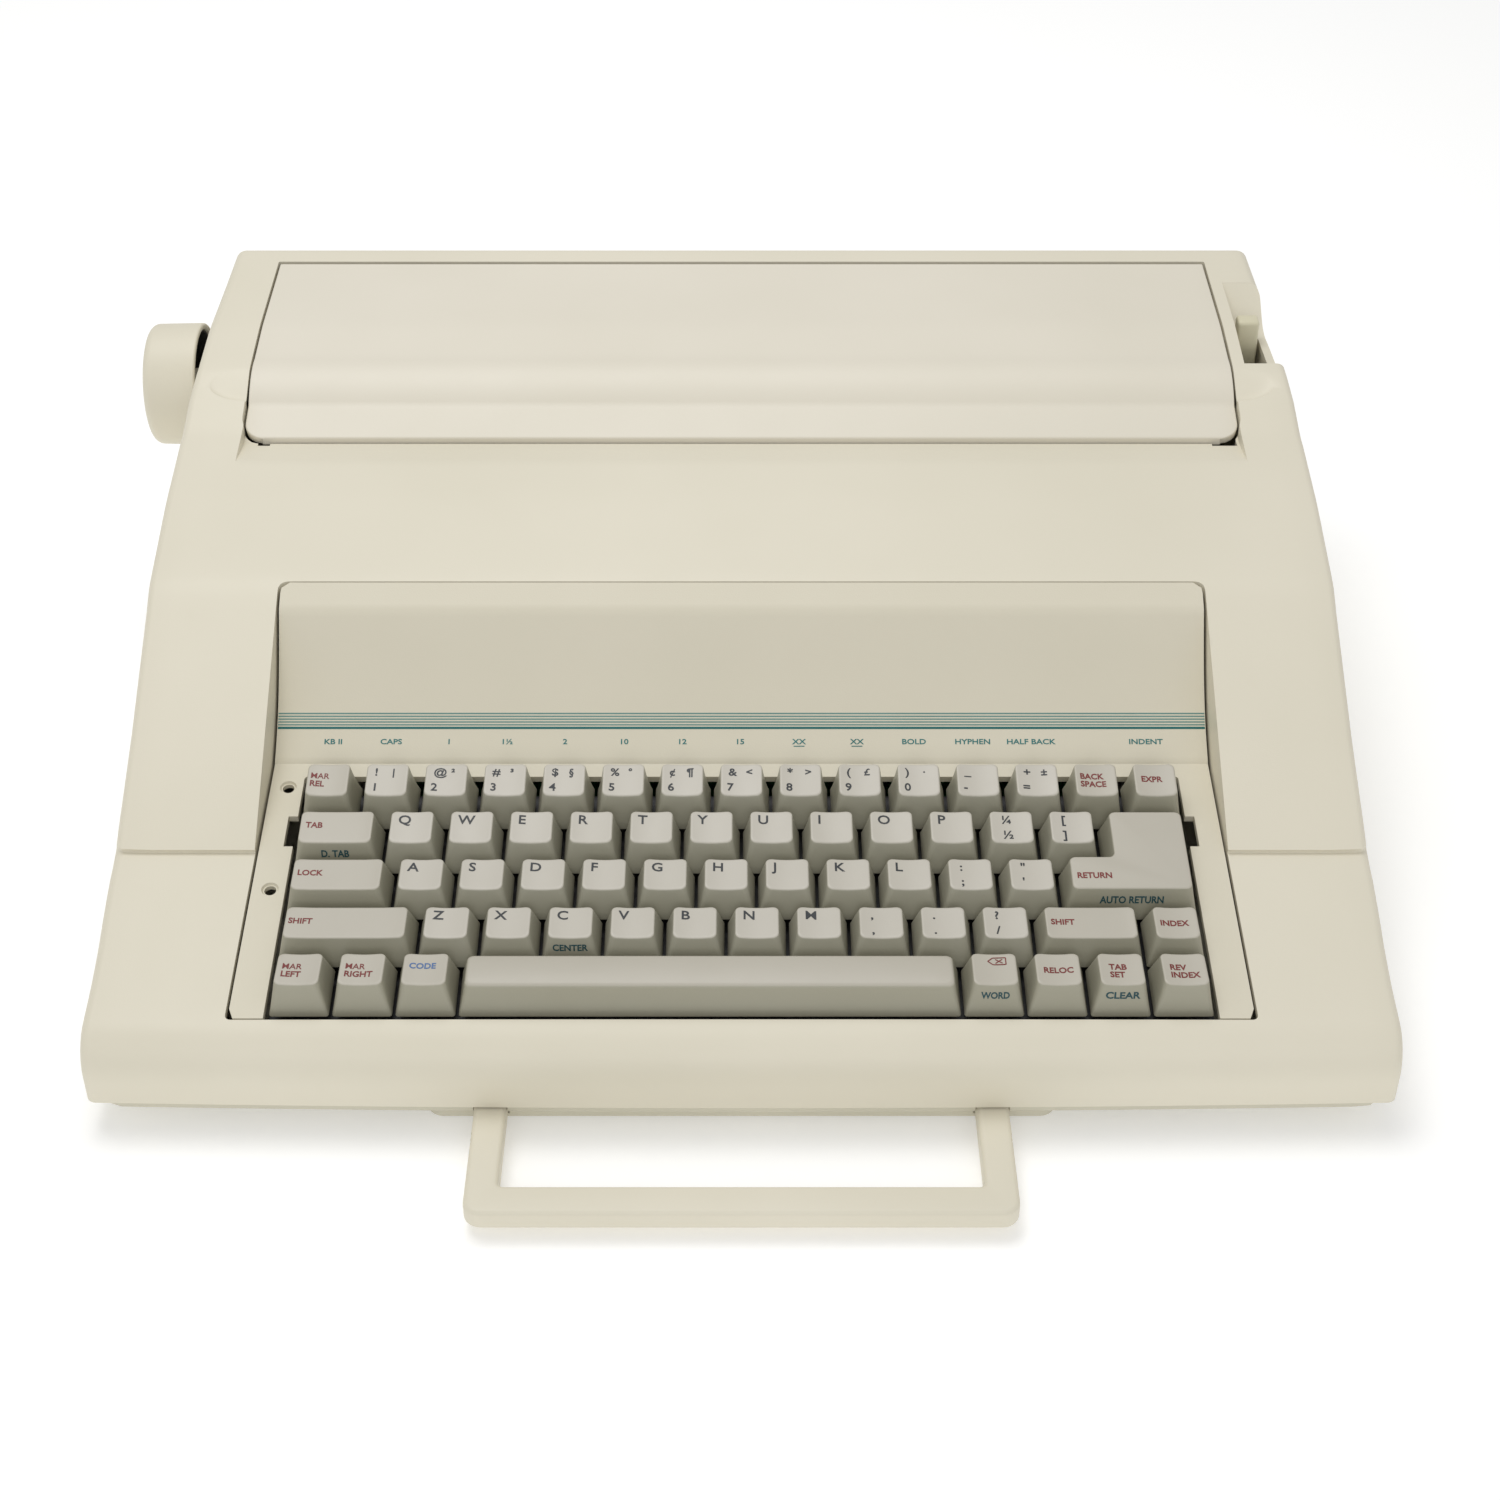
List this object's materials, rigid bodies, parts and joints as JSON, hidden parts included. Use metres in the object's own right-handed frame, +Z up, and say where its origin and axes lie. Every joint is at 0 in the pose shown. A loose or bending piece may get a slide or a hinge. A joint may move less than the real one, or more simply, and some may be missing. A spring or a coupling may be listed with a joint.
{
  "type": "electronic typewriter",
  "caption": "Portable electronic typewriter with a hinged top cover, sloping keyboard, side platen knob and a pull-out carry handle.",
  "frame": {"origin": "centre of the overall box in plan, on the table plane under the foot strips", "axes": "+X to the typist's right, +Y to the back of the machine, +Z up"},
  "size_m": [0.4242, 0.4032, 0.1235],
  "materials": {
    "case_plastic": "fine moulded texture",
    "cover_plastic": "fine moulded texture",
    "surround_plastic": "fine moulded texture",
    "tray_plastic": "moulded",
    "light_key_plastic": "satin",
    "grey_key_plastic": "satin",
    "black_plastic": "moulded",
    "white_plastic": "moulded",
    "black_rubber": "matt",
    "steel": "plated",
    "circuit_board": "lacquered",
    "transformer_metal": "varnished"
  },
  "bodies": {
    "case": {"base_tray": "tray_plastic", "top_case": "case_plastic", "keyboard_bezel": "surround_plastic", "front_foot_strip": "black_rubber", "rear_foot_strip": "black_rubber", "left_side_plate": "steel", "right_side_plate": "steel", "front_rail": "steel", "rear_rail": "steel", "line_feed_motor": "steel", "carriage_motor": "steel", "carriage_belt": "black_rubber", "main_board": "circuit_board", "power_transformer": "transformer_metal", "cord_gland": "black_plastic", "key_frame": "black_plastic"},
    "cover": {"top_cover": "cover_plastic"},
    "handle": {"carry_handle": "case_plastic"},
    "platen": {"platen_roller": "black_rubber", "platen_shaft": "steel", "platen_knob": "case_plastic", "platen_gear": "white_plastic"},
    "pinion": {"line_feed_pinion": "white_plastic"},
    "pressure": {"pressure_roller": "black_rubber"},
    "carriage": {"carriage": "black_plastic", "print_wheel_motor": "steel", "ribbon_cassette": "black_plastic"},
    "wheel": {"print_wheel": "black_plastic"},
    "striker": {"hammer": "steel"},
    "drive": {"drive_pulley": "white_plastic"},
    "idler": {"idler_pulley": "white_plastic"},
    "release": {"paper_release_lever": "case_plastic"},
    "number_keys_left": {"number_keys_left": "light_key_plastic"},
    "number_keys_middle": {"number_keys_middle": "light_key_plastic"},
    "number_keys_right": {"number_keys_right": "light_key_plastic"},
    "upper_keys_left": {"upper_keys_left": "light_key_plastic"},
    "upper_keys_middle": {"upper_keys_middle": "light_key_plastic"},
    "upper_keys_right": {"upper_keys_right": "light_key_plastic"},
    "home_keys_left": {"home_keys_left": "light_key_plastic"},
    "home_keys_middle": {"home_keys_middle": "light_key_plastic"},
    "home_keys_right": {"home_keys_right": "light_key_plastic"},
    "lower_keys_left": {"lower_keys_left": "light_key_plastic"},
    "lower_keys_right": {"lower_keys_right": "light_key_plastic"},
    "margin_release_key": {"margin_release_key": "grey_key_plastic"},
    "backspace_key": {"backspace_key": "grey_key_plastic"},
    "express_key": {"express_key": "grey_key_plastic"},
    "tab_key": {"tab_key": "grey_key_plastic"},
    "lock_key": {"lock_key": "grey_key_plastic"},
    "shift_left_key": {"shift_left_key": "grey_key_plastic"},
    "shift_right_key": {"shift_right_key": "grey_key_plastic"},
    "index_key": {"index_key": "grey_key_plastic"},
    "margin_left_key": {"margin_left_key": "grey_key_plastic"},
    "margin_right_key": {"margin_right_key": "grey_key_plastic"},
    "code_key": {"code_key": "grey_key_plastic"},
    "correction_key": {"correction_key": "grey_key_plastic"},
    "relocate_key": {"relocate_key": "grey_key_plastic"},
    "tab_set_key": {"tab_set_key": "grey_key_plastic"},
    "reverse_index_key": {"reverse_index_key": "grey_key_plastic"},
    "space_bar": {"space_bar": "grey_key_plastic"},
    "return_key": {"return_key": "grey_key_plastic"}
  },
  "joints": [
    {"name": "cover_hinge", "type": "hinge", "parent": "case", "child": "cover", "pos_m": [0.0116, 0.18155, 0.12143], "axis": [-1, 0, 0], "range_deg": [0, 95]},
    {"name": "handle_slide", "type": "slide", "parent": "case", "child": "handle", "axis": [0, 1, 0], "range_m": [0, 0.03]},
    {"name": "platen_turn", "type": "hinge", "parent": "case", "child": "platen", "pos_m": [0.0116, 0.14255, 0.092], "axis": [1, 0, 0], "continuous": true},
    {"name": "pinion_turn", "type": "hinge", "parent": "case", "child": "pinion", "pos_m": [0.1906, 0.12257, 0.07202], "axis": [1, 0, 0], "continuous": true},
    {"name": "pressure_turn", "type": "hinge", "parent": "case", "child": "pressure", "pos_m": [0.0116, 0.14285, 0.0702], "axis": [1, 0, 0], "continuous": true},
    {"name": "carriage_travel", "type": "slide", "parent": "case", "child": "carriage", "axis": [1, 0, 0], "range_m": [-0.105, 0.105]},
    {"name": "drive_turn", "type": "hinge", "parent": "case", "child": "drive", "pos_m": [-0.1444, 0.04555, 0.039], "axis": [0, 0, 1], "range_deg": [-690, 690]},
    {"name": "idler_turn", "type": "hinge", "parent": "case", "child": "idler", "pos_m": [0.1676, 0.04555, 0.039], "axis": [0, 0, 1], "range_deg": [-690, 690]},
    {"name": "wheel_turn", "type": "hinge", "parent": "carriage", "child": "wheel", "pos_m": [0.0116, 0.12235, 0.06], "axis": [0, 1, 0], "continuous": true},
    {"name": "hammer_strike", "type": "slide", "parent": "carriage", "child": "striker", "axis": [0, 1, 0], "range_m": [0, 0.0035], "stiffness_N_per_m": 150, "springref_m": -0.002},
    {"name": "release_pivot", "type": "hinge", "parent": "case", "child": "release", "pos_m": [0.2021, 0.15155, 0.062], "axis": [1, 0, 0], "range_deg": [0, 13]},
    {"name": "number_keys_left_press", "type": "slide", "parent": "case", "child": "number_keys_left", "axis": [0, 0.1513, -0.9885], "range_m": [0, 0.0035], "stiffness_N_per_m": 200, "springref_m": -0.003},
    {"name": "number_keys_middle_press", "type": "slide", "parent": "case", "child": "number_keys_middle", "axis": [0, 0.1513, -0.9885], "range_m": [0, 0.0035], "stiffness_N_per_m": 200, "springref_m": -0.003},
    {"name": "number_keys_right_press", "type": "slide", "parent": "case", "child": "number_keys_right", "axis": [0, 0.1513, -0.9885], "range_m": [0, 0.0035], "stiffness_N_per_m": 200, "springref_m": -0.003},
    {"name": "upper_keys_left_press", "type": "slide", "parent": "case", "child": "upper_keys_left", "axis": [0, 0.1513, -0.9885], "range_m": [0, 0.0035], "stiffness_N_per_m": 200, "springref_m": -0.003},
    {"name": "upper_keys_middle_press", "type": "slide", "parent": "case", "child": "upper_keys_middle", "axis": [0, 0.1513, -0.9885], "range_m": [0, 0.0035], "stiffness_N_per_m": 200, "springref_m": -0.003},
    {"name": "upper_keys_right_press", "type": "slide", "parent": "case", "child": "upper_keys_right", "axis": [0, 0.1513, -0.9885], "range_m": [0, 0.0035], "stiffness_N_per_m": 200, "springref_m": -0.003},
    {"name": "home_keys_left_press", "type": "slide", "parent": "case", "child": "home_keys_left", "axis": [0, 0.1513, -0.9885], "range_m": [0, 0.0035], "stiffness_N_per_m": 200, "springref_m": -0.003},
    {"name": "home_keys_middle_press", "type": "slide", "parent": "case", "child": "home_keys_middle", "axis": [0, 0.1513, -0.9885], "range_m": [0, 0.0035], "stiffness_N_per_m": 200, "springref_m": -0.003},
    {"name": "home_keys_right_press", "type": "slide", "parent": "case", "child": "home_keys_right", "axis": [0, 0.1513, -0.9885], "range_m": [0, 0.0035], "stiffness_N_per_m": 200, "springref_m": -0.003},
    {"name": "lower_keys_left_press", "type": "slide", "parent": "case", "child": "lower_keys_left", "axis": [0, 0.1513, -0.9885], "range_m": [0, 0.0035], "stiffness_N_per_m": 200, "springref_m": -0.003},
    {"name": "lower_keys_right_press", "type": "slide", "parent": "case", "child": "lower_keys_right", "axis": [0, 0.1513, -0.9885], "range_m": [0, 0.0035], "stiffness_N_per_m": 200, "springref_m": -0.003},
    {"name": "margin_release_key_press", "type": "slide", "parent": "case", "child": "margin_release_key", "axis": [0, 0.1513, -0.9885], "range_m": [0, 0.0035], "stiffness_N_per_m": 160, "springref_m": -0.003},
    {"name": "backspace_key_press", "type": "slide", "parent": "case", "child": "backspace_key", "axis": [0, 0.1513, -0.9885], "range_m": [0, 0.0035], "stiffness_N_per_m": 160, "springref_m": -0.003},
    {"name": "express_key_press", "type": "slide", "parent": "case", "child": "express_key", "axis": [0, 0.1513, -0.9885], "range_m": [0, 0.0035], "stiffness_N_per_m": 160, "springref_m": -0.003},
    {"name": "tab_key_press", "type": "slide", "parent": "case", "child": "tab_key", "axis": [0, 0.1513, -0.9885], "range_m": [0, 0.0035], "stiffness_N_per_m": 160, "springref_m": -0.003},
    {"name": "lock_key_press", "type": "slide", "parent": "case", "child": "lock_key", "axis": [0, 0.1513, -0.9885], "range_m": [0, 0.0035], "stiffness_N_per_m": 160, "springref_m": -0.003},
    {"name": "shift_left_key_press", "type": "slide", "parent": "case", "child": "shift_left_key", "axis": [0, 0.1513, -0.9885], "range_m": [0, 0.0035], "stiffness_N_per_m": 200, "springref_m": -0.003},
    {"name": "shift_right_key_press", "type": "slide", "parent": "case", "child": "shift_right_key", "axis": [0, 0.1513, -0.9885], "range_m": [0, 0.0035], "stiffness_N_per_m": 160, "springref_m": -0.003},
    {"name": "index_key_press", "type": "slide", "parent": "case", "child": "index_key", "axis": [0, 0.1513, -0.9885], "range_m": [0, 0.0035], "stiffness_N_per_m": 160, "springref_m": -0.003},
    {"name": "margin_left_key_press", "type": "slide", "parent": "case", "child": "margin_left_key", "axis": [0, 0.1513, -0.9885], "range_m": [0, 0.0035], "stiffness_N_per_m": 160, "springref_m": -0.003},
    {"name": "margin_right_key_press", "type": "slide", "parent": "case", "child": "margin_right_key", "axis": [0, 0.1513, -0.9885], "range_m": [0, 0.0035], "stiffness_N_per_m": 160, "springref_m": -0.003},
    {"name": "code_key_press", "type": "slide", "parent": "case", "child": "code_key", "axis": [0, 0.1513, -0.9885], "range_m": [0, 0.0035], "stiffness_N_per_m": 160, "springref_m": -0.003},
    {"name": "correction_key_press", "type": "slide", "parent": "case", "child": "correction_key", "axis": [0, 0.1513, -0.9885], "range_m": [0, 0.0035], "stiffness_N_per_m": 160, "springref_m": -0.003},
    {"name": "relocate_key_press", "type": "slide", "parent": "case", "child": "relocate_key", "axis": [0, 0.1513, -0.9885], "range_m": [0, 0.0035], "stiffness_N_per_m": 160, "springref_m": -0.003},
    {"name": "tab_set_key_press", "type": "slide", "parent": "case", "child": "tab_set_key", "axis": [0, 0.1513, -0.9885], "range_m": [0, 0.0035], "stiffness_N_per_m": 160, "springref_m": -0.003},
    {"name": "reverse_index_key_press", "type": "slide", "parent": "case", "child": "reverse_index_key", "axis": [0, 0.1513, -0.9885], "range_m": [0, 0.0035], "stiffness_N_per_m": 160, "springref_m": -0.003},
    {"name": "space_bar_press", "type": "slide", "parent": "case", "child": "space_bar", "axis": [0, 0.1513, -0.9885], "range_m": [0, 0.0035], "stiffness_N_per_m": 200, "springref_m": -0.003},
    {"name": "return_key_press", "type": "slide", "parent": "case", "child": "return_key", "axis": [0, 0.1513, -0.9885], "range_m": [0, 0.0035], "stiffness_N_per_m": 200, "springref_m": -0.003}
  ],
  "couplings": [
    {"joint": "pinion_turn", "follows": "platen_turn", "ratio": -3.6667},
    {"joint": "pressure_turn", "follows": "platen_turn", "ratio": -2.5833},
    {"joint": "drive_turn", "follows": "carriage_travel", "rad_per_m": -113.64},
    {"joint": "idler_turn", "follows": "carriage_travel", "rad_per_m": -113.64}
  ]
}
